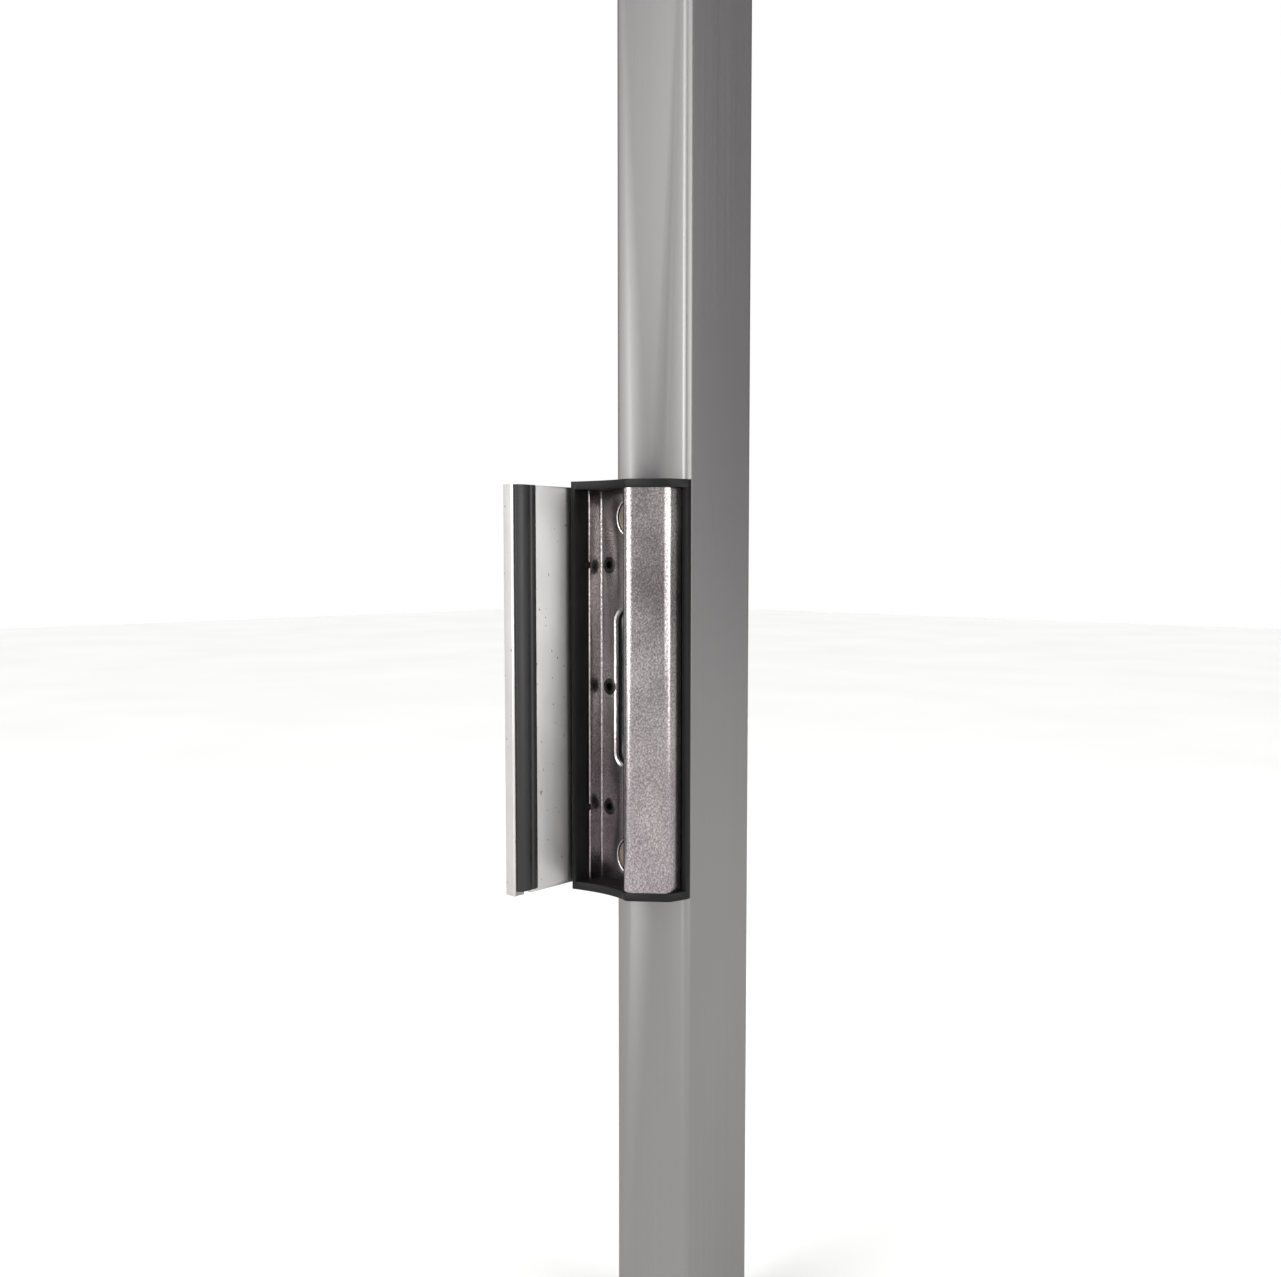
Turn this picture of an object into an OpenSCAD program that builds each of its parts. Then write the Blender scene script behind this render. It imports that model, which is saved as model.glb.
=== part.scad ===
// Lock keep with an adjustable gate stop on a square gate post.
// The post stands on z = 0 with its axis on the z axis. Its lock side faces -y.
// The keep is laid out from the post's front edge: x = 0 there, y = 0 on the lock side,
// z = 0 at the middle of the keep. The gate leaf closes towards -x, onto the stop's rubber.

/* [Post] */
// Outside width of the square post
post_w = 40; // [38:1:50]
// Wall of the post
post_wall = 2; // [1.5:0.1:2.5]
// Outside radius of the post's corners
post_corner_r = 3; // [2.6:0.1:4]
// Length of the post section
post_len = 620; // [400:10:1200]
// Height of the keep's middle above the foot of the post
keep_z = 290; // [150:5:500]

/* [Housing] */
// Height of the moulded housing
keep_h = 165.5; // [162:0.5:180]
// Width of the housing, from the post's front edge
keep_w = 42.8; // [42:0.1:44]
// How far the stop side of the housing stands out from the post
keep_out = 22; // [20:0.5:26]
// Thickness of the two end caps
cap_t = 3.2; // [2.5:0.1:3.4]
// Thickness of the wall beside the stop
side_wall_t = 1.8; // [1.2:0.1:1.8]
// Thickness of the edge along the post's front corner
edge_wall_t = 1.5; // [1:0.1:1.6]
// How far that edge reaches past the post's front corner
edge_over = 1; // [0.5:0.1:1.5]

/* [Steel insert] */
// Thickness of the bent sheet
sheet_t = 1.5; // [1:0.1:1.5]
// Front face of the back wall above the post
back_out = 8.65; // [8.5:0.05:9]
// Front edge of the flange above the post
flange_out = 15.3; // [12:0.1:17]
// Distance of the bolt's striking face from the post's front edge
strike_in = 18.9; // [18.6:0.1:19]
// Ridge of the ramp above the post
ridge_out = 18.7; // [17:0.1:18.8]
// Width of the slot for the dead bolt
slot_w = 11; // [8:0.5:11]
// Overall length of the slot for the dead bolt
slot_l = 64; // [40:1:70]
// Distance of the slot's middle from the post's front edge
slot_in = 25.5; // [25.5:0.1:26]

/* [Stop] */
// Gap between the stop and the housing
stop_gap = 2.4; // [2.2:0.1:6]
// Thickness of the stop's plate and flange
stop_t = 1.8; // [1.5:0.1:1.8]
// How far the stop reaches out from the post
stop_out = 51; // [45:0.5:60]
// Width of the stop's nose
nose_w = 5.4; // [5:0.1:6]
// Height of the stop
stop_h = 161.2; // [158:0.2:165]
// Width of the rubber strip
rubber_w = 10.7; // [10:0.1:11]
// Crown of the rubber strip above the plate
rubber_crown = 2.3; // [1:0.1:3]
// How much shorter the rubber strip ends at the bottom
rubber_short = 1.7; // [0:0.1:4]
// Travel of the stop away from the housing
stop_travel = 10; // [0:0.5:10]

/* [Fasteners] */
// Distance of the clamp screws from the post's front edge
clamp_in = 34.5; // [34.4:0.1:35]
// Distance between neighbouring clamp screws
clamp_pitch = 49.4; // [45:0.1:50]
// Thread diameter of the clamp screws
clamp_d = 4; // [3:1:4]
// Distance of the anchors from the post's front edge
anchor_in = 22.3; // [22.1:0.1:22.5]
// Distance of each anchor from the keep's middle
anchor_z = 68.4; // [68:0.1:69]
// Thread diameter of the anchor bolts
anchor_d = 8; // [6:1:8]
// Diameter of the anchor holes in the post
anchor_hole_d = 15.7; // [15:0.1:16]

/* [Hidden] */
$fn = 64;
clear = 0.1;
cut = 1;
inner_h = keep_h - 2 * cap_t;
bend_steps = 6;

// Housing's edge at the post's corner, and the rib that closes its web
edge_lip = 1.2;
edge_out = 1.2;
lip_x = -0.5;
sill_out = 0.7;
web_end_x = -3.5;
rib_x = -6.5;
web_t = 1.85;

// Distances above the post's lock side, from the outside in
back_in = back_out - sheet_t;
web_in = back_in - web_t;
plate_face = web_in - clear;
plate_t = 1;
flange_face = plate_face - plate_t - clear;
flange_in = flange_face - stop_t;
nut_face = flange_in - clear;
nut_in = 0.3;

// The insert's mid-line, from the flange's edge to the edge at the post's corner
half_t = sheet_t / 2;
edge_x = -(edge_wall_t + 0.2 + half_t);
flange_x = -(keep_w - side_wall_t - clear - half_t);
strike_x = -(strike_in - half_t);
corner_over = 2.5;
ridge_y = -(ridge_out + corner_over);
shoulder_y = -8.37;
insert_h = inner_h - 0.3;
insert_line = [
    [flange_x, -flange_out],
    [flange_x, -(back_out - half_t)],
    [strike_x, -(back_out - half_t)],
    [strike_x, ridge_y],
    [edge_x, shoulder_y],
    [edge_x, -0.9]
];
insert_bends = [0, 1.6, 1.6, 3, 3.6, 0];

// Catches that hold the insert in the housing
catch_z = clamp_pitch;
catch_h = 2.4;
catch_over = 0.5;
notch_deep = 0.8;

// Stop
plate_x = -(keep_w + stop_gap);
plate_back_x = plate_x - stop_t;
nose_over = 3.2;
nose_left_x = plate_back_x - nose_over;
nose_right_x = nose_left_x + nose_w;
nose_lip = 1.3;
nose_r = 0.6;
rubber_front_y = -(stop_out - nose_lip - 0.1);
rubber_back_y = rubber_front_y + rubber_w;
rubber_mid_y = (rubber_front_y + rubber_back_y) / 2;
groove_neck = 3;
groove_w = 6;
groove_lip = 1.5;
groove_deep = 3;
tongue_h = 2 * (clamp_pitch + 9.9);
tongue_end_x = -9.5;
shoulder_x = -33.2;
window_x0 = -28.3;
window_x1 = -12.5;
window_h = slot_l + 2;
push_in = 2;
flange_h = inner_h - 2;

// Clamp screws, reinforcing plate and nut bar
clamp_clear_r = clamp_d / 2 + 0.2;
clamp_nut_r = clamp_d / 2 + 0.03;
clamp_head_r = 3.25;
clamp_window_r = clamp_head_r + 0.15;
clamp_head_h = 3.6;
clamp_socket = 3;
clamp_socket_deep = 2.2;
clamp_len = 4.7;
reinforce_x0 = -40.6;
reinforce_x1 = -10;
reinforce_h = tongue_h - 2;
reinforce_slot_x = -28.4;
nut_bar_x0 = -38.5;
nut_bar_w = 7.4;
nut_bar_h = 112;

// Anchors
boss_r = 8.6;
recess_r = 7.4;
washer_r = 7.2;
washer_t = 1.6;
washer_in = 5.5;
flange_r = 7.2;
flange_t = 1.2;
head_r = 5.2;
head_h = 3.8;
head_socket = 5;
head_socket_deep = 2.6;
head_y = -(washer_in + washer_t + 0.02);
head_gap = 0.4;
bolt_end = 24;
window_r = 7.6;
sleeve_r = anchor_hole_d / 2 - 0.05;
sleeve_len = 13;
sleeve_slot_w = 1.5;
fin_w = 1.3;
seat_start = 7;
seat_end_r = 6.6;
cone_end = 18;
anchor_bore_r = anchor_d / 2 + 0.2;
cone_bore_r = anchor_d / 2 + 0.05;

// ---- Helpers ----

function unit(v) = v / norm(v);

// Points of a bend of radius r at b, between the runs from a and to c
function bend(a, b, c, r) =
    let (u = unit(a - b), v = unit(c - b), half = acos(u * v) / 2)
    let (mid = b + unit(u + v) * r / sin(half), reach = r / tan(half))
    let (from = b + u * reach - mid, to = b + v * reach - mid)
    let (start = atan2(from.y, from.x), turn = (atan2(to.y, to.x) - start + 540) % 360 - 180)
    [for (i = [0 : bend_steps]) let (at = start + turn * i / bend_steps) mid + r * [cos(at), sin(at)]];

// A line with its inner corners rounded
function rounded_line(line, radii) = [
    line[0],
    for (i = [1 : len(line) - 2]) each bend(line[i - 1], line[i], line[i + 1], radii[i]),
    line[len(line) - 1]
];

// The same line moved sideways by d
function shifted(line, d) = [
    for (i = [0 : len(line) - 1])
        let (t = unit(line[min(i + 1, len(line) - 1)] - line[max(i - 1, 0)]))
        line[i] + d * [t.y, -t.x]
];

function reversed(list) = [for (i = [len(list) - 1 : -1 : 0]) list[i]];

// Point of a curve with one handle
function curve_point(a, b, c, t) = (1 - t) * (1 - t) * a + 2 * t * (1 - t) * b + t * t * c;

// Moves its children to the keep's own layout
module at_keep() {
    translate([post_w / 2, -post_w / 2, keep_z])
        children();
}

// Extrudes an outline to height h, centred on the keep's middle
module upright(h) {
    translate([0, 0, -h / 2])
        linear_extrude(h)
            children();
}

// Block between two corners of the plan, centred on the keep's middle
module block(x0, x1, y0, y1, h) {
    translate([x0, y0, -h / 2])
        cube([x1 - x0, y1 - y0, h]);
}

// Round bar across the post, from y0 to y1
module rod(y0, y1, r) {
    translate([0, y0, 0])
        rotate([-90, 0, 0])
            cylinder(h = y1 - y0, r = r);
}

// Solid of revolution about y: points are [radius, distance along y]
module turned(points) {
    rotate([-90, 0, 0])
        rotate_extrude()
            polygon(points);
}

// Six-sided socket across flats w, open towards -y
module socket(y0, y1, w) {
    translate([0, y0, 0])
        rotate([-90, 0, 0])
            cylinder(h = y1 - y0, d = w / cos(30), $fn = 6);
}

// Upright slot with round ends, cut from y0 to y1
module upright_slot(x, y0, y1, w, l) {
    block(x - w / 2, x + w / 2, y0, y1, l - w);
    for (side = [-1, 1])
        translate([x, 0, side * (l - w) / 2])
            rod(y0, y1, w / 2);
}

// Level slot with round ends, from x0 to x1
module level_slot(x0, x1, z, y0, y1, r) {
    translate([x0 + r, y0, z - r])
        cube([x1 - x0 - 2 * r, y1 - y0, 2 * r]);
    for (x = [x0 + r, x1 - r])
        translate([x, 0, z])
            rod(y0, y1, r);
}

module rounded_square(w, r) {
    square([w - 2 * r, w], center = true);
    square([w, w - 2 * r], center = true);
    for (sx = [-1, 1], sy = [-1, 1])
        translate([sx * (w / 2 - r), sy * (w / 2 - r)])
            circle(r);
}

// Rectangle in the plan with rounded corners
module rounded_bar(x0, x1, y0, y1, r) {
    translate([x0, y0 + r])
        square([x1 - x0, y1 - y0 - 2 * r]);
    translate([x0 + r, y0])
        square([x1 - x0 - 2 * r, y1 - y0]);
    for (x = [x0 + r, x1 - r], y = [y0 + r, y1 - r])
        translate([x, y])
            circle(r);
}

// ---- Post ----

module post() {
    inner_r = max(0.5, post_corner_r - post_wall);
    color("silver")
        difference() {
            linear_extrude(post_len)
                difference() {
                    rounded_square(post_w, post_corner_r);
                    rounded_square(post_w - 2 * post_wall, inner_r);
                }
            at_keep()
                for (side = [-1, 1])
                    translate([-anchor_in, 0, side * anchor_z])
                        rod(-cut, post_wall + cut, anchor_hole_d / 2);
        }
}

// ---- Housing ----

// Outline of the end caps: a shallow dip beside the recess, then the ramp
module cap_outline() {
    dip_start = [-keep_w, -keep_out];
    dip_handle = [-28, -16.6];
    ridge = [-strike_in + 1.75, -(ridge_out - 0.1)];
    polygon(concat(
        [[edge_over, edge_lip], [lip_x, edge_lip], [lip_x, 0], [-keep_w, 0]],
        [for (i = [0 : 12]) curve_point(dip_start, dip_handle, ridge, i / 12)],
        [[-strike_in + 2.7, -(ridge_out + 0.4)], [-strike_in + 4.7, -(ridge_out + 0.4)]],
        [[-2.4, -9.6], [-1, -8.2], [edge_over, -0.5]]
    ));
}

module housing_shell() {
    for (side = [-1, 1])
        translate([0, 0, side * (keep_h - cap_t) / 2])
            upright(cap_t)
                cap_outline();
    block(-keep_w, -(keep_w - side_wall_t), -keep_out, -web_in, inner_h);
    block(-keep_w, -(keep_w - side_wall_t), -nut_face, 0, inner_h);
    block(-(keep_w - side_wall_t), web_end_x, -back_in, -web_in, inner_h);
    block(rib_x, web_end_x, -web_in, 0, inner_h);
    block(web_end_x, -edge_wall_t, -sill_out, 0, inner_h);
    block(-edge_wall_t, edge_over, -edge_out, 0, inner_h);
    block(lip_x, edge_over, -edge_out / 2, edge_lip, inner_h);
    for (side = [-1, 1])
        translate([-anchor_in, 0, side * anchor_z])
            rod(-back_in, 0, boss_r);
}

// Small teeth that hook over the flange's front edge
module housing_catches() {
    for (side = [-1, 1])
        translate([0, 0, side * catch_z])
            block(
                -(keep_w - side_wall_t), flange_x,
                -flange_out - catch_over, -flange_out + notch_deep - clear, catch_h - 2 * clear
            );
}

module housing() {
    color([0.11, 0.11, 0.11])
        at_keep() {
            difference() {
                housing_shell();
                upright_slot(-slot_in, -back_in - cut, -web_in + cut, slot_w, slot_l);
                for (row = [-1, 0, 1])
                    translate([-clamp_in, 0, row * clamp_pitch])
                        rod(-back_in - cut, -web_in + cut, clamp_window_r);
                for (side = [-1, 1])
                    translate([-anchor_in, 0, side * anchor_z]) {
                        rod(-back_in - cut, -washer_in, recess_r);
                        rod(-washer_in - cut, cut, anchor_bore_r);
                    }
            }
            housing_catches();
        }
}

// ---- Steel insert ----

module insert_sheet() {
    line = rounded_line(insert_line, insert_bends);
    upright(insert_h)
        polygon(concat(shifted(line, half_t), reversed(shifted(line, -half_t))));
}

module keep_insert() {
    color([0.62, 0.59, 0.58])
        at_keep()
            difference() {
                insert_sheet();
                upright_slot(-slot_in, -back_out - cut, -back_in + cut, slot_w, slot_l);
                for (row = [-1, 0, 1])
                    translate([-clamp_in, 0, row * clamp_pitch])
                        rod(-back_out - cut, -back_in + cut, clamp_window_r);
                for (side = [-1, 1]) {
                    translate([-anchor_in, 0, side * anchor_z])
                        rod(head_y - head_h - head_gap, -back_in + cut, window_r);
                    translate([0, 0, side * catch_z])
                        block(
                            flange_x - sheet_t, flange_x + sheet_t,
                            -flange_out - cut, -flange_out + notch_deep, catch_h
                        );
                }
            }
}

// ---- Stop ----

// Plan of the plate with its nose and the groove for the rubber
module stop_outline() {
    block_back_y = rubber_back_y + 0.7;
    difference() {
        union() {
            translate([plate_back_x, -stop_out + nose_lip])
                square([stop_t, stop_out - nose_lip - flange_in]);
            translate([nose_left_x, -stop_out + nose_r])
                square([plate_x - nose_left_x, stop_out + block_back_y - nose_r]);
            rounded_bar(nose_left_x, nose_right_x, -stop_out, -stop_out + nose_lip, nose_r);
        }
        translate([plate_x - groove_lip - clear, rubber_mid_y - groove_neck / 2])
            square([groove_lip + clear + cut, groove_neck]);
        translate([plate_x - groove_deep, rubber_mid_y - groove_w / 2])
            square([groove_deep - groove_lip, groove_w]);
    }
}

module stop_profile() {
    color([0.8, 0.8, 0.79])
        at_keep()
            difference() {
                union() {
                    upright(stop_h)
                        stop_outline();
                    block(plate_x - cut, shoulder_x, -flange_face, -flange_in, flange_h);
                    block(shoulder_x - cut, tongue_end_x, -flange_face, -flange_in, tongue_h);
                }
                block(window_x0, window_x1, -flange_face - cut, -flange_in + cut, window_h);
                for (row = [-1, 0, 1])
                    level_slot(
                        -clamp_in - push_in - clamp_clear_r,
                        -clamp_in + stop_travel + clamp_clear_r,
                        row * clamp_pitch, -flange_face - cut, -flange_in + cut, clamp_clear_r
                    );
            }
}

// Crowned strip with a root that sits in the stop's groove
module rubber_strip() {
    pad = [for (i = [0 : 16])
        let (t = i / 8 - 1)
        [plate_x + rubber_crown * pow(1 - pow(abs(t), 3), 0.6), rubber_mid_y + t * rubber_w / 2]];
    color([0.2, 0.2, 0.2])
        at_keep()
            translate([0, 0, rubber_short / 2])
                upright(stop_h - rubber_short) {
                    polygon(pad);
                    translate([plate_x - groove_lip - 0.2, rubber_mid_y - groove_neck / 2 + clear])
                        square([groove_lip + 0.2 + 0.1, groove_neck - 2 * clear]);
                    translate([plate_x - groove_deep + clear, rubber_mid_y - groove_w / 2 + clear])
                        square([groove_deep - groove_lip - 2 * clear, groove_w - 2 * clear]);
                }
}

// ---- Reinforcing plate, clamp screws and nut bar ----

// Steel plate behind the housing's web: the clamp screws' heads bear on it
module reinforcing_plate() {
    color([0.6, 0.6, 0.6])
        at_keep()
            difference() {
                block(reinforce_x0, reinforce_x1, -plate_face, -plate_face + plate_t, reinforce_h);
                block(
                    reinforce_slot_x, -slot_in + slot_w / 2,
                    -plate_face - cut, -plate_face + plate_t + cut, slot_l
                );
                for (row = [-1, 0, 1])
                    translate([-clamp_in, 0, row * clamp_pitch])
                        rod(-plate_face - cut, -plate_face + plate_t + cut, clamp_clear_r);
            }
}

module nut_bar() {
    color([0.7, 0.7, 0.68])
        at_keep()
            difference() {
                block(nut_bar_x0, nut_bar_x0 + nut_bar_w, -nut_face, -nut_in, nut_bar_h);
                for (row = [-1, 0, 1])
                    translate([-clamp_in, 0, row * clamp_pitch])
                        rod(-nut_face - cut, -nut_in + cut, clamp_nut_r);
            }
}

module clamp_screw(row) {
    seat = -plate_face - 0.05;
    face = seat - clamp_head_h;
    edge = 0.5;
    color([0.08, 0.08, 0.08])
        at_keep()
            translate([-clamp_in, 0, row * clamp_pitch])
                difference() {
                    turned([
                        [0, face], [clamp_head_r - edge, face], [clamp_head_r, face + edge],
                        [clamp_head_r, seat], [clamp_d / 2, seat],
                        [clamp_d / 2, seat + clamp_len], [0, seat + clamp_len]
                    ]);
                    socket(face - cut, face + clamp_socket_deep, clamp_socket);
                }
}

module clamp_screw_upper() {
    clamp_screw(1);
}

module clamp_screw_middle() {
    clamp_screw(0);
}

module clamp_screw_lower() {
    clamp_screw(-1);
}

// ---- Anchors ----

module at_anchor(side) {
    at_keep()
        translate([-anchor_in, 0, side * anchor_z])
            children();
}

// Button-head bolt with a flange under its head
module anchor_bolt(side) {
    dome_h = head_h - flange_t;
    rim_r = 2.9;
    dome = [for (i = [0 : 8])
        let (a = 90 * i / 8)
        [rim_r + (head_r - rim_r) * sin(a), head_y - head_h + dome_h * (1 - cos(a))]];
    color([0.66, 0.64, 0.6])
        at_anchor(side)
            difference() {
                turned(concat(
                    [[0, head_y - head_h]], dome,
                    [[flange_r, head_y - flange_t], [flange_r, head_y], [anchor_d / 2, head_y]],
                    [[anchor_d / 2, bolt_end - 1]],
                    [[anchor_d / 2 - 0.8, bolt_end], [0, bolt_end]]
                ));
                socket(head_y - head_h - cut, head_y - head_h + head_socket_deep, head_socket);
            }
}

module anchor_washer(side) {
    color([0.68, 0.68, 0.66])
        at_anchor(side)
            turned([
                [anchor_bore_r, -washer_in - washer_t], [washer_r, -washer_in - washer_t],
                [washer_r, -washer_in], [anchor_bore_r, -washer_in]
            ]);
}

// Slotted sleeve, a little wider behind the post's wall than in it
module anchor_sleeve(side) {
    start = 0.1;
    spread_r = sleeve_r + 0.6;
    color([0.55, 0.55, 0.54])
        at_anchor(side)
            difference() {
                turned([
                    [anchor_bore_r + clear, start], [sleeve_r, start], [sleeve_r, post_wall + 0.3],
                    [spread_r, sleeve_len], [seat_end_r, sleeve_len], [anchor_bore_r + clear, seat_start]
                ]);
                for (turn = [0, 90])
                    rotate([0, turn, 0])
                        translate([-2 * sleeve_r, 2 * post_wall, -sleeve_slot_w / 2])
                            cube([4 * sleeve_r, sleeve_len, sleeve_slot_w]);
            }
}

// Cone nut that spreads the sleeve, kept from turning by two fins in the sleeve's slots
module anchor_cone(side) {
    start = seat_start + 1;
    slope = (seat_end_r - anchor_bore_r - clear) / (sleeve_len - seat_start);
    start_r = anchor_bore_r + clear + slope * (start - seat_start) - clear;
    body_r = 7.4;
    color([0.6, 0.58, 0.5])
        at_anchor(side)
            difference() {
                union() {
                    turned([
                        [0, start], [start_r, start], [seat_end_r - clear, sleeve_len],
                        [body_r, sleeve_len + 0.5], [body_r, cone_end], [0, cone_end]
                    ]);
                    translate([-body_r, start, -fin_w / 2])
                        cube([2 * body_r, cone_end - start - cut, fin_w]);
                }
                rod(start - cut, cone_end + cut, cone_bore_r);
            }
}

module anchor_bolt_upper() {
    anchor_bolt(1);
}

module anchor_bolt_lower() {
    anchor_bolt(-1);
}

module anchor_washer_upper() {
    anchor_washer(1);
}

module anchor_washer_lower() {
    anchor_washer(-1);
}

module anchor_sleeve_upper() {
    anchor_sleeve(1);
}

module anchor_sleeve_lower() {
    anchor_sleeve(-1);
}

module anchor_cone_upper() {
    anchor_cone(1);
}

module anchor_cone_lower() {
    anchor_cone(-1);
}

post();
housing();
keep_insert();
stop_profile();
rubber_strip();
reinforcing_plate();
nut_bar();
clamp_screw_upper();
clamp_screw_middle();
clamp_screw_lower();
anchor_bolt_upper();
anchor_bolt_lower();
anchor_washer_upper();
anchor_washer_lower();
anchor_sleeve_upper();
anchor_sleeve_lower();
anchor_cone_upper();
anchor_cone_lower();
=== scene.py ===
# %% [markdown]
# # A lock keep and gate stop on a square gate post
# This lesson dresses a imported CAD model. The frame gives every part's place and size, so the work
# here is the looks: crisp moulded edges, a smoothly bent sheet, turned screws, and metals that
# reflect a soft studio. Lengths are in metres, and MM turns millimetres into metres.

# %% Load the frame
from math import atan2, cos, exp, pi, radians, sin, tan

import bmesh
import bpy
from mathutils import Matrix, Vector


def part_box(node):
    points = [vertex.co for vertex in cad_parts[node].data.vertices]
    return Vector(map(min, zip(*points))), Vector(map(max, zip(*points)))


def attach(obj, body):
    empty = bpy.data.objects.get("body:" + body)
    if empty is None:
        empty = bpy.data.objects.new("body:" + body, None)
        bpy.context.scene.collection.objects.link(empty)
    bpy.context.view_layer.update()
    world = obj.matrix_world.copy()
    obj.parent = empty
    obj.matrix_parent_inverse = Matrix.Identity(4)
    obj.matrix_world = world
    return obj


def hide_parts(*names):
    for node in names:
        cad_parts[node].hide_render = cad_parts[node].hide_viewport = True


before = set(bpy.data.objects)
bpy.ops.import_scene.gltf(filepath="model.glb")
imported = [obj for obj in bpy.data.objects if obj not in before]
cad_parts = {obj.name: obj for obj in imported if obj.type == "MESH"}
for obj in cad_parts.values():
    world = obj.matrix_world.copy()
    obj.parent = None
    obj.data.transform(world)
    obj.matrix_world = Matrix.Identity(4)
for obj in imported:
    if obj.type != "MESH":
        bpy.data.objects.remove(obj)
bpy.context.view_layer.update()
MM = 0.001

# %% [markdown]
# ## The keep's own layout
# The real keep is drawn from the front edge of its post. x is 0 at that edge, y is 0 on the post's
# lock side and grows into the post, and z is 0 at the keep's middle. One function turns such a
# point into the frame's metres, so the pieces below can use the drawing's own millimetres.

# %% Where the keep sits
post_low, post_high = (Vector(corner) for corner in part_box("post"))
housing_low, housing_high = (Vector(corner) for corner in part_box("housing"))
KEEP_ORIGIN = Vector((post_high.x, post_low.y, (housing_low.z + housing_high.z) / 2))


def keep_point(x, y, z=0.0):
    return KEEP_ORIGIN + Vector((x, y, z)) * MM


print("keep origin in mm:", [round(value / MM, 2) for value in KEEP_ORIGIN])

# %% [markdown]
# ## Camera and studio
# The camera stands a little above the keep, level with its upper third, and looks at the post's
# front corner from about 44 degrees. A short working distance gives the strong perspective of
# the post's width. A real studio would light such a metal part with two tall softboxes, one
# square to each face of the post, so that every rounded edge between the faces picks up two
# bright lines with a calm tone between them. A third box overhead fills the shadows.

# %% Camera
VIEW_TURN = radians(44.1)
VIEW_DOWN = radians(3.8)
VIEW_DISTANCE = 465.4
VIEW_SIDE = -18.2
VIEW_ABOVE_KEEP = 51.7
FRAME_WIDTH = 1281
FOCAL_IN_FRAME = 1191

across = Vector((cos(VIEW_TURN), sin(VIEW_TURN), 0))
ahead = Vector((-sin(VIEW_TURN), cos(VIEW_TURN), 0))
camera = bpy.data.objects.new("studio_camera", bpy.data.cameras.new("studio_camera"))
camera.data.sensor_width = 36
camera.data.lens = 36 * FOCAL_IN_FRAME / FRAME_WIDTH
camera.data.clip_start = 0.01
camera.location = KEEP_ORIGIN + (across * VIEW_SIDE - ahead * VIEW_DISTANCE) * MM
camera.location.z = KEEP_ORIGIN.z + VIEW_ABOVE_KEEP * MM
camera.rotation_euler = (pi / 2 - VIEW_DOWN, 0, VIEW_TURN)
bpy.context.scene.collection.objects.link(camera)
bpy.context.scene.camera = camera
bpy.context.scene.view_settings.view_transform = "Standard"
print("lens in mm:", round(camera.data.lens, 1))

# %% Softboxes


def softbox(name, turn, height, distance, size, power, tint):
    """A tall area light aimed at the keep. turn is the angle from -Y towards +X."""
    light = bpy.data.lights.new(name, "AREA")
    light.shape = "RECTANGLE"
    light.size, light.size_y = size
    light.energy = power
    light.color = tint
    lamp = bpy.data.objects.new(name, light)
    lamp.location = KEEP_ORIGIN + Vector((sin(turn) * distance, -cos(turn) * distance, height))
    lamp.rotation_euler = (KEEP_ORIGIN - lamp.location).to_track_quat("-Z", "Y").to_euler()
    bpy.context.scene.collection.objects.link(lamp)
    return lamp


softbox("left_softbox", radians(-8), 0.25, 1.3, (0.4, 1.5), 11, (1.0, 1.0, 1.0))
softbox("right_softbox", radians(97), 0.25, 1.3, (0.3, 1.5), 5.5, (1.0, 1.0, 1.0))
softbox("top_softbox", radians(30), 1.6, 0.5, (1.6, 1.6), 4, (1.0, 1.0, 1.0))

# %% [markdown]
# ## One way to build every material
# A material is a small graph of nodes. Instead of a separate function for each kind of node, one
# helper adds any node, sets its properties and connects its inputs. Colours are written as the hex
# codes that a paint chart would give, and one function turns them into the linear values that
# the renderer works with.

# %% Material helpers


def colour(code):
    """A hex sRGB colour as linear red, green, blue and alpha."""
    parts = [int(code[i : i + 2], 16) / 255 for i in (1, 3, 5)]
    return (*[c / 12.92 if c <= 0.04045 else ((c + 0.055) / 1.055) ** 2.4 for c in parts], 1.0)


def add(tree, kind, inputs=None, **settings):
    """Adds a node. inputs maps a socket's name or number to a value or to another node's socket."""
    node = tree.nodes.new(kind)
    for name, value in settings.items():
        setattr(node, name, value)
    for name, value in (inputs or {}).items():
        if isinstance(value, bpy.types.NodeSocket):
            tree.links.new(value, node.inputs[name])
        else:
            node.inputs[name].default_value = value
    return node


def new_material(name):
    material = bpy.data.materials.new(name)
    material.use_nodes = True
    tree = material.node_tree
    tree.nodes.clear()
    return material, tree


def finish_material(tree, shader):
    add(tree, "ShaderNodeOutputMaterial", {"Surface": shader.outputs[0]})


def linear_ramp(tree, factor, stops):
    """A colour ramp with (position, linear colour) stops."""
    node = add(tree, "ShaderNodeValToRGB", {"Fac": factor})
    for _ in stops[2:]:
        node.color_ramp.elements.new(0.5)
    for element, (position, tone) in zip(node.color_ramp.elements, stops):
        element.position = position
        element.color = tone
    return node.outputs["Color"]


def ramp(tree, factor, stops):
    """A colour ramp with (position, hex colour) stops."""
    return linear_ramp(tree, factor, [(position, colour(code)) for position, code in stops])


def per_mm(size_mm):
    """Texture scale whose features are about size_mm across on Object coordinates."""
    return 1 / (size_mm * MM)


def object_place(tree, stretch=(1, 1, 1)):
    """Object coordinates, optionally stretched so that features grow along an axis."""
    place = add(tree, "ShaderNodeTexCoord").outputs["Object"]
    scale = tuple(1 / value for value in stretch)
    return add(tree, "ShaderNodeMapping", {"Vector": place, "Scale": scale}).outputs[0]


def noise(tree, place, size_mm, detail=3, roughness=0.5):
    inputs = {"Vector": place, "Scale": per_mm(size_mm), "Detail": detail, "Roughness": roughness}
    return add(tree, "ShaderNodeTexNoise", inputs).outputs["Fac"]


def spread(tree, factor, low, high):
    """Maps a pattern's 0.3 to 0.7 onto low to high."""
    inputs = {"Value": factor, "From Min": 0.3, "From Max": 0.7, "To Min": low, "To Max": high}
    return add(tree, "ShaderNodeMapRange", inputs).outputs["Result"]


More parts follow.
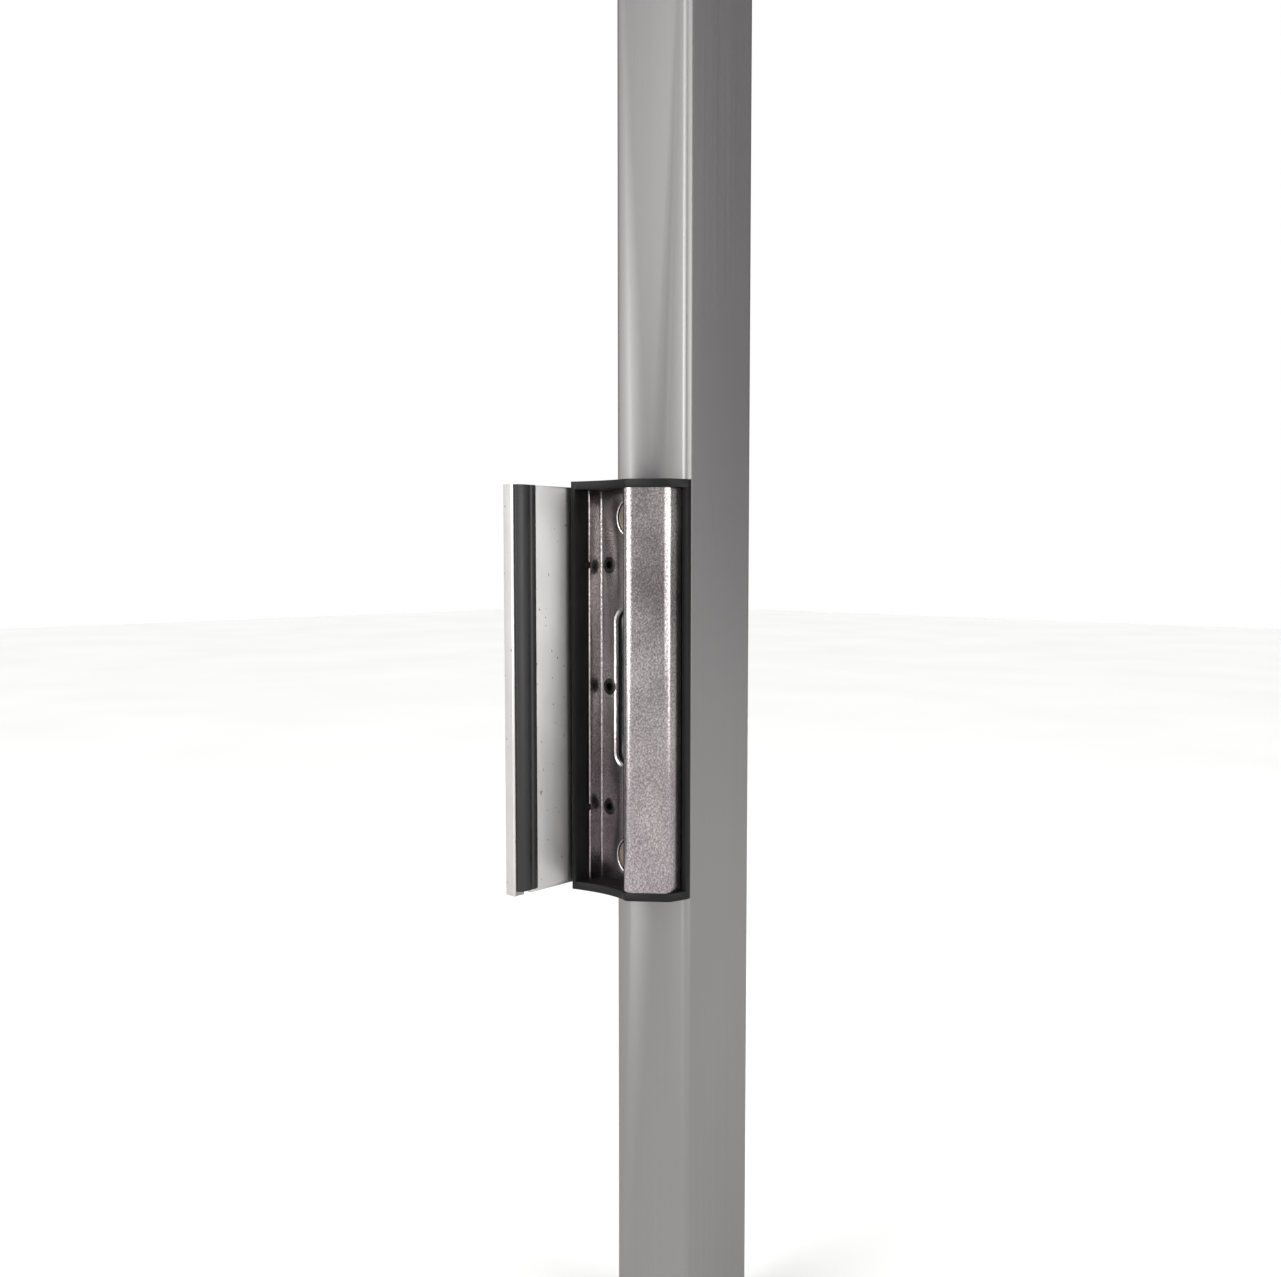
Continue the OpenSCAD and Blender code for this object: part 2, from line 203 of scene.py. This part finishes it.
def multiplied(tree, tone, shade):
    """A colour pattern darkened by a second one."""
    inputs = {0: 1.0, 6: tone, 7: shade}
    return add(tree, "ShaderNodeMix", inputs, data_type="RGBA", blend_type="MULTIPLY").outputs[2]


def bump(tree, height, depth_mm, strength):
    inputs = {"Height": height, "Distance": depth_mm * MM, "Strength": strength}
    return add(tree, "ShaderNodeBump", inputs).outputs["Normal"]


# %% [markdown]
# ## Studio dome and floor
# Polished and satin metals show what stands round them, so the dome is drawn as a studio: one
# white wall of light in front of each visible face, a dim gap between them where the camera is,
# and a dark panel at the back right. Rounded edges pick up the walls as bright lines, and the
# flat faces between them stay calm. The visible backdrop itself is plain white.

# %% Dome and floor
# Each wall is an angle in degrees and how strongly it shines. Levels blend between the angles.
LIGHT_WALLS = [
    (-180, 0.3), (-100, 0.3), (-88, 0.7), (-52, 1.25), (-40, 1.45), (-32, 3.3), (17, 3.3), (24, 0.42),
    (44, 0.42), (52, 3.3), (106, 3.3), (112, 0.45), (146, 0.45), (158, 0.6), (180, 0.4),
]
BRIGHTEST = 3.3
WALL_TOP, TOP_SHARE = 0.7, 0.68


def studio_dome():
    """Light walls round the keep, by their angle from -Y towards +X, and a white backdrop to look at."""
    world = bpy.data.worlds.new("studio_dome")
    world.use_nodes = True
    tree = world.node_tree
    tree.nodes.clear()
    direction = add(tree, "ShaderNodeTexCoord").outputs["Generated"]
    part = add(tree, "ShaderNodeSeparateXYZ", {0: direction}).outputs
    front = add(tree, "ShaderNodeMath", {0: part["Y"], 1: -1.0}, operation="MULTIPLY").outputs[0]
    turn = add(tree, "ShaderNodeMath", {0: part["X"], 1: front}, operation="ARCTAN2").outputs[0]
    whole_turn = {"Value": turn, "From Min": -pi, "From Max": pi}
    place = add(tree, "ShaderNodeMapRange", whole_turn).outputs["Result"]
    stops = [((angle + 180) / 360, (*[level / BRIGHTEST] * 3, 1)) for angle, level in LIGHT_WALLS]
    walls = linear_ramp(tree, place, stops)
    levels = {"To Min": BRIGHTEST, "To Max": BRIGHTEST * TOP_SHARE}
    level = add(tree, "ShaderNodeMapRange", {"Value": part["Z"], "From Max": WALL_TOP, **levels})
    lit = add(tree, "ShaderNodeBackground", {"Color": walls, "Strength": level.outputs["Result"]})
    backdrop = add(tree, "ShaderNodeBackground", {"Color": (1, 1, 1, 1), "Strength": 1.0})
    seen = add(tree, "ShaderNodeLightPath").outputs["Is Camera Ray"]
    shader = add(tree, "ShaderNodeMixShader", {0: seen, 1: lit.outputs[0], 2: backdrop.outputs[0]})
    add(tree, "ShaderNodeOutputWorld", {"Surface": shader.outputs[0]})
    bpy.context.scene.world = world


def floor():
    mesh = bpy.data.meshes.new("studio_floor")
    bm = bmesh.new()
    bmesh.ops.create_grid(bm, x_segments=1, y_segments=1, size=6)
    bm.to_mesh(mesh)
    bm.free()
    ground = bpy.data.objects.new("studio_floor", mesh)
    bpy.context.scene.collection.objects.link(ground)
    material, tree = new_material("pale_floor_paint")
    place = object_place(tree)
    tone = ramp(tree, noise(tree, place, 400, detail=1), [(0.3, "#F4F4F3"), (0.7, "#F8F8F7")])
    finish_material(tree, add(tree, "ShaderNodeBsdfPrincipled", {"Base Color": tone, "Roughness": 0.9}))
    mesh.materials.append(material)


studio_dome()
floor()

# %% [markdown]
# ## Finishes
# Each finish below is named for what it is. The numbers start from typical values: bare metals are
# fully metallic, plastics have an IOR near 1.5, and roughness says how wide a highlight spreads.

# %% Satin anodised aluminium


def satin_anodised_aluminium():
    """Extruded, etched and anodised: an even satin grey with faint lines along the extrusion."""
    material, tree = new_material("satin_anodised_aluminium")
    lines = noise(tree, object_place(tree, (1, 1, 400)), 0.5, detail=4, roughness=0.6)
    clouds = noise(tree, object_place(tree, (1, 1, 4)), 60, detail=2)
    tone = ramp(tree, clouds, [(0.3, "#7F7D7D"), (0.7, "#858383")])
    inputs = {
        "Base Color": tone,
        "Metallic": 1.0,
        "Roughness": spread(tree, lines, 0.4, 0.5),
        "Normal": bump(tree, lines, 0.012, 0.6),
    }
    finish_material(tree, add(tree, "ShaderNodeBsdfPrincipled", inputs))
    return material


# %% Glass-filled nylon


def black_nylon():
    """Moulded glass-filled nylon: near black, with a fine spark-eroded grain that dulls it."""
    material, tree = new_material("black_glass_filled_nylon")
    place = object_place(tree)
    grain = noise(tree, place, 0.45, detail=3, roughness=0.6)
    patches = noise(tree, place, 14, detail=2)
    inputs = {
        "Base Color": ramp(tree, patches, [(0.3, "#0A0909"), (0.7, "#0E0D0D")]),
        "Roughness": spread(tree, patches, 0.42, 0.54),
        "IOR": 1.53,
        "Specular IOR Level": 0.16,
        "Normal": bump(tree, grain, 0.03, 0.5),
    }
    finish_material(tree, add(tree, "ShaderNodeBsdfPrincipled", inputs))
    return material


# %% Tumbled stainless steel


def tumbled_stainless():
    """Bent stainless sheet, tumbled afterwards: a fine mottle, and lower down a faint lilac tint with
    painted shade that darkens it.
    """
    material, tree = new_material("tumbled_stainless_steel")
    place = object_place(tree, (1, 1, 1.4))
    flakes = noise(tree, place, 0.55, detail=3, roughness=0.6)
    patches = noise(tree, place, 22, detail=3)
    tone = ramp(tree, flakes, [(0.35, "#878382"), (0.5, "#ABA6A4"), (0.65, "#D2CCC9")])
    shade = ramp(tree, patches, [(0.3, "#D8D4D8"), (0.7, "#FFFFFF")])
    height = add(tree, "ShaderNodeSeparateXYZ", {0: object_place(tree)}).outputs["Z"]
    ends = {"Value": height, "From Min": housing_low.z, "From Max": housing_high.z}
    along = add(tree, "ShaderNodeMapRange", ends).outputs["Result"]
    # Painted shade, partly a real lilac tint: the sheet's colour darkens towards its lower end.
    lilac_tint_and_painted_shade = ramp(tree, along, [(0.0, "#D6D2D9"), (0.9, "#FFFFFF")])
    inputs = {
        "Base Color": multiplied(tree, multiplied(tree, tone, shade), lilac_tint_and_painted_shade),
        "Metallic": 1.0,
        "Roughness": spread(tree, patches, 0.2, 0.27),
        "Normal": bump(tree, flakes, 0.006, 0.5),
    }
    finish_material(tree, add(tree, "ShaderNodeBsdfPrincipled", inputs))
    return material


# %% Mill-finish aluminium


def mill_finish_aluminium():
    """Bare extruded aluminium: pale, with faint drawing lines and a few dark nicks from handling."""
    material, tree = new_material("mill_finish_aluminium")
    lines = noise(tree, object_place(tree, (1, 1, 300)), 0.6, detail=4, roughness=0.6)
    clouds = noise(tree, object_place(tree, (1, 1, 2)), 18, detail=4)
    specks = noise(tree, object_place(tree, (1, 1, 1.8)), 1.6, detail=2, roughness=0.4)
    nick = add(tree, "ShaderNodeMapRange", {"Value": specks, "From Min": 0.71, "From Max": 0.75})
    tone = ramp(tree, clouds, [(0.3, "#B2B1B0"), (0.7, "#BFBEBD")])
    marked = add(
        tree, "ShaderNodeMix", {0: nick.outputs["Result"], 6: tone, 7: colour("#6E6E70")}, data_type="RGBA"
    )
    inputs = {
        "Base Color": marked.outputs[2],
        "Metallic": 1.0,
        "Roughness": spread(tree, lines, 0.34, 0.42),
        "Normal": bump(tree, lines, 0.012, 0.6),
    }
    finish_material(tree, add(tree, "ShaderNodeBsdfPrincipled", inputs))
    return material


# %% EPDM rubber


def epdm_rubber():
    """Extruded EPDM: dark grey with a satin skin and very faint lines along its length."""
    material, tree = new_material("epdm_rubber")
    lines = noise(tree, object_place(tree, (1, 1, 60)), 0.8, detail=3)
    bloom = noise(tree, object_place(tree), 22, detail=3)
    inputs = {
        "Base Color": ramp(tree, bloom, [(0.3, "#100F0F"), (0.7, "#151414")]),
        "Roughness": spread(tree, bloom, 0.4, 0.52),
        "IOR": 1.52,
        "Specular IOR Level": 0.4,
        "Normal": bump(tree, lines, 0.03, 0.6),
    }
    finish_material(tree, add(tree, "ShaderNodeBsdfPrincipled", inputs))
    return material


# %% Plated steels


def plated_steel(name, dark, light, rough):
    """Electroplated steel: a thin even coat that follows every mark beneath it."""
    material, tree = new_material(name)
    place = object_place(tree)
    coat = noise(tree, place, 3.5, detail=4)
    grit = noise(tree, place, 0.35, detail=2)
    inputs = {
        "Base Color": ramp(tree, coat, [(0.3, dark), (0.7, light)]),
        "Metallic": 1.0,
        "Roughness": spread(tree, coat, rough, rough + 0.12),
        "Normal": bump(tree, grit, 0.012, 0.5),
    }
    finish_material(tree, add(tree, "ShaderNodeBsdfPrincipled", inputs))
    return material


FINISH = {
    "post": satin_anodised_aluminium(),
    "nylon": black_nylon(),
    "stainless": tumbled_stainless(),
    "stop": mill_finish_aluminium(),
    "rubber": epdm_rubber(),
    "zinc": plated_steel("clear_zinc_plate", "#A6A8AA", "#C4C6C8", 0.3),
    "warm_zinc": plated_steel("warm_zinc_plate", "#9C9284", "#C6BBA9", 0.3),
    "black_zinc": plated_steel("black_zinc_plate", "#2C2B2B", "#3C3B3B", 0.3),
}
print("finishes:", ", ".join(FINISH))

# %% [markdown]
# ## Tools for the pieces
# Most pieces here are made in one of three ways: an outline raised to a height, a profile spun
# about an axis, or a merged copy of a CAD solid whose sharp edges are broken with a small bevel.
# The helpers hold those steps, and every piece ends in the same place: its object at the origin,
# its body and the CAD nodes it stands for.

# %% Piece helpers


def raise_outline(points, z_low, z_high):
    """A closed solid from an outline of keep points in mm, from z_low to z_high."""
    bm = bmesh.new()
    ring = [bm.verts.new(keep_point(x, y, z_low)) for x, y in points]
    base = bm.faces.new(ring)
    raised = bmesh.ops.extrude_face_region(bm, geom=[base], use_keep_orig=True)
    tops = [item for item in raised["geom"] if isinstance(item, bmesh.types.BMVert)]
    bmesh.ops.translate(bm, verts=tops, vec=(0, 0, (z_high - z_low) * MM))
    bmesh.ops.recalc_face_normals(bm, faces=bm.faces[:])
    return bm


def sharp_edges(bm, angle):
    return [edge for edge in bm.edges if edge.is_manifold and edge.calc_face_angle() > angle]


def break_edges(bm, size_mm, segments=2, angle=radians(40), chosen=None):
    """Bevels the sharp edges, or the chosen ones."""
    edges = sharp_edges(bm, angle) if chosen is None else chosen
    bmesh.ops.bevel(
        bm, geom=edges, offset=size_mm * MM, offset_type="OFFSET", segments=segments,
        profile=0.5, affect="EDGES", material=-1, clamp_overlap=True,
    )


def finish_piece(name, bm, body, finish, replaced, smooth=radians(32)):
    mesh = bpy.data.meshes.new(name)
    bm.to_mesh(mesh)
    bm.free()
    mesh.materials.append(FINISH[finish])
    mesh.shade_smooth()
    mesh.set_sharp_from_angle(angle=smooth)
    piece = bpy.data.objects.new(name, mesh)
    bpy.context.scene.collection.objects.link(piece)
    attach(piece, body)
    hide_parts(*replaced)
    print(f"{name}: {len(mesh.polygons)} faces on {body}")
    return piece


def cad_copy(node):
    """A merged copy of a CAD solid, with its flat faces whole again."""
    bm = bmesh.new()
    bm.from_mesh(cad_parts[node].data)
    bmesh.ops.remove_doubles(bm, verts=bm.verts[:], dist=0.002 * MM)
    whole = {"verts": bm.verts[:], "edges": bm.edges[:], "delimit": set()}
    bmesh.ops.dissolve_limit(bm, angle_limit=radians(0.4), **whole)
    return bm


# %% [markdown]
# ## Post and housing
# The post is a plain extrusion and the housing a moulding. Both are already right in the CAD, so
# each is a copy with its edges broken: a saw leaves a tiny burr-free chamfer on the tube's ends,
# and a mould gives nylon edges a small radius that catches a thin line of light.

# %% Post and housing
post_bm = cad_copy("post")
break_edges(post_bm, 0.25)
finish_piece("gate_post", post_bm, "keep", "post", ["post"])

housing_bm = cad_copy("housing")
break_edges(housing_bm, 0.3)
finish_piece("keep_housing", housing_bm, "keep", "nylon", ["housing"])

# %% [markdown]
# ## Bent sheet
# The steel insert is one strip of 1.5 mm sheet, bent four times on a press brake: a flange, the
# back wall, the bolt's striking face, the ramp that the latch rides over, and the edge at the
# post's corner. A bend keeps a soft radius, and that radius is what draws the bright upright
# lines. So the mid-line is laid out with true arcs, given its thickness on both sides, and raised.
# The dead bolt's slot has a coined rim: the sheet slopes down a little all round it, so that the
# bolt finds its way in. A flaring cutter makes that slope.

# %% Lines with bends


def bend(before, corner, after, radius, steps=10):
    """Points of an arc of that radius in a corner of a line."""
    to_before, to_after = (before - corner).normalized(), (after - corner).normalized()
    half = to_before.angle(to_after) / 2
    centre = corner + (to_before + to_after).normalized() * radius / sin(half)
    first = corner + to_before * radius / tan(half) - centre
    last = corner + to_after * radius / tan(half) - centre
    start = atan2(first.y, first.x)
    turn = (atan2(last.y, last.x) - start + pi) % (2 * pi) - pi
    angles = [start + turn * i / steps for i in range(steps + 1)]
    return [centre + Vector((cos(angle), sin(angle))) * radius for angle in angles]


def rounded_line(corners, radii):
    corners = [Vector(corner) for corner in corners]
    line = [corners[0]]
    for before, corner, after, radius in zip(corners, corners[1:], corners[2:], radii):
        line += bend(before, corner, after, radius)
    return line + [corners[-1]]


def shifted(line, distance):
    """The line moved sideways, to the right of its direction where distance is positive."""
    moved = []
    for i, point in enumerate(line):
        along = (line[min(i + 1, len(line) - 1)] - line[max(i - 1, 0)]).normalized()
        moved.append(point + Vector((along.y, -along.x)) * distance)
    return moved


# %% Cutting tools


def slot_outline(x, z, width, length, steps=24):
    """An upright slot with round ends in x and z, or a circle where length equals width."""
    radius, reach = width / 2, (length - width) / 2
    angles = [pi * i / steps for i in range(steps + 1)]
    top = [(x + radius * cos(angle), z + reach + radius * sin(angle)) for angle in angles]
    low = [(x - radius * cos(angle), z - reach - radius * sin(angle)) for angle in angles]
    return top + low


def raise_across(points, y_front, y_back, back_points=None):
    """A closed solid from an outline in x and z at y_front to the same or another one at y_back."""
    bm = bmesh.new()
    places = ((y_front, points), (y_back, back_points or points))
    front, back = ([bm.verts.new(keep_point(x, y, z)) for x, z in outline] for y, outline in places)
    bm.faces.new(front)
    bm.faces.new(back[::-1])
    for i in range(len(front)):
        bm.faces.new((front[i - 1], front[i], back[i], back[i - 1]))
    bmesh.ops.remove_doubles(bm, verts=bm.verts[:], dist=0.001 * MM)
    bmesh.ops.recalc_face_normals(bm, faces=bm.faces[:])
    return bm


def coined_rim(x, z, width, length, reach, depth):
    """A flaring cutter: it widens a hole by reach at the sheet's face and ends at that depth."""
    wide = slot_outline(x, z, width + 4 * reach, length + 4 * reach)
    return raise_across(wide, BACK_FRONT - depth, BACK_FRONT + depth, slot_outline(x, z, width, length))


def solid_object(bm):
    mesh = bpy.data.meshes.new("tool")
    bm.to_mesh(mesh)
    bm.free()
    solid = bpy.data.objects.new("tool", mesh)
    bpy.context.scene.collection.objects.link(solid)
    return solid


def carve(bm, tools):
    """Takes each tool's solid out of the work."""
    work = solid_object(bm)
    cutters = [solid_object(tool) for tool in tools]
    for cutter in cutters:
        step = work.modifiers.new("carve", "BOOLEAN")
        step.operation, step.solver, step.object = "DIFFERENCE", "EXACT", cutter
    graph = bpy.context.evaluated_depsgraph_get()
    carved = bpy.data.meshes.new_from_object(work.evaluated_get(graph))
    result = bmesh.new()
    result.from_mesh(carved)
    for solid in (work, *cutters):
        bpy.data.objects.remove(solid)
    bmesh.ops.remove_doubles(result, verts=result.verts[:], dist=0.001 * MM)
    return result


# %% Steel insert
SHEET = 1.5
BACK_FRONT, FLANGE_OUT = -8.65, -15.3
STRIKE_MID, RIDGE_CORNER, SHOULDER_CORNER = -18.15, -21.2, -8.37
BEND_RADII = (1.6, 1.6, 3, 3.6)
CLAMP_X, CLAMP_PITCH, CLAMP_HOLE = -34.5, 49.4, 6.8
ANCHOR_X, ANCHOR_Z, ANCHOR_WINDOW = -22.3, 68.4, 15.2
HEAD_CLEARANCE = -11.32
SLOT_X, SLOT_W, SLOT_L = -25.5, 11, 64
SLOT_COIN, WINDOW_COIN = (0.8, 0.34), (0.35, 0.15)
NOTCH_H, NOTCH_DEEP = 2.4, 0.8
PAST = 1

insert_low, insert_high = (Vector(corner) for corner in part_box("keep_insert"))
flange_edge = (insert_low - KEEP_ORIGIN) / MM
post_edge = (insert_high - KEEP_ORIGIN) / MM
back_mid = BACK_FRONT + SHEET / 2
corners = [
    (flange_edge.x + SHEET / 2, FLANGE_OUT),
    (flange_edge.x + SHEET / 2, back_mid),
    (STRIKE_MID, back_mid),
    (STRIKE_MID, RIDGE_CORNER),
    (post_edge.x - SHEET / 2, SHOULDER_CORNER),
    (post_edge.x - SHEET / 2, post_edge.y),
]
insert_line = rounded_line(corners, BEND_RADII)
outline = shifted(insert_line, SHEET / 2) + shifted(insert_line, -SHEET / 2)[::-1]
blank = raise_outline(outline, flange_edge.z, post_edge.z)

# %% Holes, slot and notches
cut_end = back_mid + 2
slot = (SLOT_X, 0, SLOT_W, SLOT_L)
tools = [raise_across(slot_outline(*slot), BACK_FRONT - PAST, cut_end)]
tools.append(coined_rim(*slot, *SLOT_COIN))
for row in (-1, 0, 1):
    hole = slot_outline(CLAMP_X, row * CLAMP_PITCH, CLAMP_HOLE, CLAMP_HOLE)
    tools.append(raise_across(hole, BACK_FRONT - PAST, cut_end))
for side in (-1, 1):
    window = (ANCHOR_X, side * ANCHOR_Z, ANCHOR_WINDOW, ANCHOR_WINDOW)
    tools.append(raise_across(slot_outline(*window), HEAD_CLEARANCE, cut_end))
    tools.append(coined_rim(*window, *WINDOW_COIN))
    left, right = flange_edge.x - PAST, flange_edge.x + 2 * SHEET
    low = side * CLAMP_PITCH - NOTCH_H / 2
    high = low + NOTCH_H
    notch = [(left, low), (right, low), (right, high), (left, high)]
    tools.append(raise_across(notch, FLANGE_OUT - PAST, FLANGE_OUT + NOTCH_DEEP))
insert_bm = carve(blank, tools)

# %% Insert's edges
front_edge = keep_point(0, FLANGE_OUT).y
flange_rim = [
    edge
    for edge in sharp_edges(insert_bm, radians(50))
    if all(abs(vertex.co.y - front_edge) < 0.01 * MM for vertex in edge.verts)
]
break_edges(insert_bm, 0.45, segments=4, chosen=flange_rim)
break_edges(insert_bm, 0.2, segments=3, angle=radians(50))
finish_piece(
    "bent_steel_insert", insert_bm, "keep", "stainless", ["keep_insert"], smooth=radians(17)
)

# %% [markdown]
# ## Stop and its rubber
# The stop is an extruded profile, cut to length and milled for its slots, so the CAD copy with
# broken edges is right for it. The buffer is a rubber extrusion pushed into the profile's groove.
# Its crown is steep at both sides, and a shallow groove parts its front lip from its back lip.

# %% Stop and rubber strip
stop_bm = cad_copy("stop_profile")
break_edges(stop_bm, 0.3, segments=3)
finish_piece("gate_stop", stop_bm, "stop", "stop", ["stop_profile"])

RUBBER_W, RUBBER_CROWN = 10.7, 2.3
DIP, DIP_AT, DIP_SPREAD = 0.16, 0.2, 0.15
PLATE_X = -45.2
rubber_low, rubber_high = ((Vector(corner) - KEEP_ORIGIN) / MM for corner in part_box("rubber_strip"))
rubber_mid = (rubber_low.y + rubber_high.y) / 2
GROOVE_LIP, GROOVE_DEEP, GROOVE_NECK, GROOVE_W = 1.5, 2.9, 1.4, 2.9
FIT = 0.1


def crown(steps=48):
    """The strip's outer face: steep at its edges, with a shallow groove between its two lips."""
    points = []
    for i in range(steps + 1):
        t = -cos(pi * i / steps)
        dip = DIP * exp(-(((t - DIP_AT) / DIP_SPREAD) ** 2))
        crown_height = RUBBER_CROWN * (1 - abs(t) ** 3) ** 0.6 * (1 - dip)
        points.append((PLATE_X + crown_height, rubber_mid + t * RUBBER_W / 2))
    return points


root = [
    (PLATE_X, rubber_mid + GROOVE_NECK),
    (PLATE_X - GROOVE_LIP - FIT, rubber_mid + GROOVE_NECK),
    (PLATE_X - GROOVE_LIP - FIT, rubber_mid + GROOVE_W),
    (PLATE_X - GROOVE_DEEP, rubber_mid + GROOVE_W),
]
root += [(x, 2 * rubber_mid - y) for x, y in root[::-1]]
rubber_bm = raise_outline(crown() + root, rubber_low.z, rubber_high.z)
break_edges(rubber_bm, 0.15, segments=3, angle=radians(50))
finish_piece("rubber_buffer", rubber_bm, "stop", "rubber", ["rubber_strip"])

# %% [markdown]
# ## Screws and bolts
# A screw is turned on a lathe and its socket is then pressed in. The same order works here: a
# profile is spun about the screw's axis, its open rim is drawn in to a hexagon, and the hexagon is
# pushed down and closed. The ring count is a multiple of six, so the hexagon's corners fall on
# vertices. Threads are drawn as close rings, because the turn of a real helix is hidden anyway.

# %% Turning and pressing
TURN_STEPS = 60


def turned(profile, x, z):
    """A profile of (radius, y) spun about the axis through x and z."""
    bm = bmesh.new()
    points = [bm.verts.new(keep_point(x + radius, y, z)) for radius, y in profile]
    for first, second in zip(points, points[1:]):
        bm.edges.new((first, second))
    bmesh.ops.spin(
        bm, geom=bm.verts[:] + bm.edges[:], cent=keep_point(x, 0, z), axis=(0, 1, 0),
        dvec=(0, 0, 0), angle=2 * pi, steps=TURN_STEPS, use_merge=True, use_duplicate=False,
    )
    bmesh.ops.remove_doubles(bm, verts=bm.verts[:], dist=0.001 * MM)
    return bm


def drawn_rim(bm, rim):
    """Extrudes an open rim and returns the new edges and vertices."""
    made = bmesh.ops.extrude_edge_only(bm, edges=rim)["geom"]
    edges = [item for item in made if isinstance(item, bmesh.types.BMEdge) and item.is_boundary]
    return edges, [item for item in made if isinstance(item, bmesh.types.BMVert)]


def press_socket(bm, x, z, width, depth):
    """Presses a hexagon socket into the open rim of a turned screw."""
    axis = keep_point(x, 0, z)
    rim, ring = drawn_rim(bm, [edge for edge in bm.edges if edge.is_boundary])
    for vertex in ring:
        angle = atan2(vertex.co.z - axis.z, vertex.co.x - axis.x)
        reach = width / 2 * MM / cos((angle + pi / 6) % (pi / 3) - pi / 6)
        vertex.co.x, vertex.co.z = axis.x + reach * cos(angle), axis.z + reach * sin(angle)
    rim, ring = drawn_rim(bm, rim)
    bmesh.ops.translate(bm, verts=ring, vec=(0, depth * MM, 0))
    bmesh.ops.edgeloop_fill(bm, edges=rim)
    bmesh.ops.recalc_face_normals(bm, faces=bm.faces[:])


def thread(radius, start, end, pitch):
    """Profile points of a threaded shank from start to end."""
    points, y = [], start
    while y + pitch < end:
        points += [(radius, y), (radius - 0.55 * pitch, y + pitch / 2)]
        y += pitch
    return points + [(radius, y), (radius - 0.5 * pitch, end), (0, end)]


def knurl(bm, x, z, radius, depth):
    """Draws in every other upright line of a head's side."""
    axis = keep_point(x, 0, z)
    for vertex in bm.verts:
        arm = Vector((vertex.co.x - axis.x, 0, vertex.co.z - axis.z))
        step = round(atan2(arm.z, arm.x) / (2 * pi / TURN_STEPS))
        if abs(arm.length - radius * MM) < 0.01 * MM and step % 2:
            vertex.co -= arm.normalized() * depth * MM


# %% Clamp screws
CLAMP_SEAT, HEAD_T, SCREW_R = -5.25, 3.6, 3.25
for name, row in (("upper", 1), ("middle", 0), ("lower", -1)):
    seat, z = CLAMP_SEAT, row * CLAMP_PITCH
    face = seat - HEAD_T
    profile = [(1.9, face), (2.6, face), (3.0, face + 0.12), (3.18, face + 0.3), (SCREW_R, face + 0.55)]
    profile += [(SCREW_R, seat - 0.15), (3.1, seat), (2, seat)] + thread(2, seat + 1.2, seat + 4.7, 0.7)
    screw_bm = turned(profile, CLAMP_X, z)
    knurl(screw_bm, CLAMP_X, z, SCREW_R, 0.08)
    press_socket(screw_bm, CLAMP_X, z, 3, 2.2)
    replaced = f"clamp_screw_{name}"
    finish_piece(f"cap_screw_{name}", screw_bm, f"screw_{name}", "black_zinc", [replaced])

# %% Anchor bolts
BOLT_FLANGE_R, BOLT_FLANGE_T, DOME_R, DOME_H, WASHER_TOP = 7.2, 1.2, 5.2, 2.6, -7.1
SOCKET_RIM_R = 3.1
for name, side in (("upper", 1), ("lower", -1)):
    seat, z = WASHER_TOP - 0.02, side * ANCHOR_Z
    flange = seat - BOLT_FLANGE_T
    dome = [pi / 2 * i / 12 for i in range(13)]
    profile = [(SOCKET_RIM_R + (DOME_R - SOCKET_RIM_R) * sin(a), flange - DOME_H * cos(a)) for a in dome]
    profile += [(BOLT_FLANGE_R - 0.3, flange), (BOLT_FLANGE_R, flange + 0.3), (BOLT_FLANGE_R, seat - 0.2)]
    profile += [(BOLT_FLANGE_R - 0.2, seat), (4, seat)] + thread(4, 2, 24, 1.25)
    bolt_bm = turned(profile, ANCHOR_X, z)
    press_socket(bolt_bm, ANCHOR_X, z, 5, 2.6)
    replaced = f"anchor_bolt_{name}"
    finish_piece(f"button_bolt_{name}", bolt_bm, f"bolt_{name}", "warm_zinc", [replaced])

# %% [markdown]
# ## Hidden hardware
# The reinforcing plate, nut bar, washers, sleeves and cone nuts work inside the keep and the tube.
# They are seen through the slot or from the tube's open ends, so they get the same broken edges
# and plating as the rest.

# %% Nut bar, washers, sleeves and cones
hidden = [(node, "keep", "plated_steel", "zinc") for node in ("reinforcing_plate", "nut_bar")]
for name in ("upper", "lower"):
    hidden.append((f"anchor_washer_{name}", "keep", "bolt_steel", "zinc"))
    hidden.append((f"anchor_sleeve_{name}", "keep", "plated_steel", "zinc"))
    hidden.append((f"anchor_cone_{name}", f"cone_{name}", "plated_steel", "warm_zinc"))
for node, body, slot, finish in hidden:
    part_bm = cad_copy(node)
    break_edges(part_bm, 0.12)
    finish_piece(f"{node}_finished", part_bm, body, finish, [node])
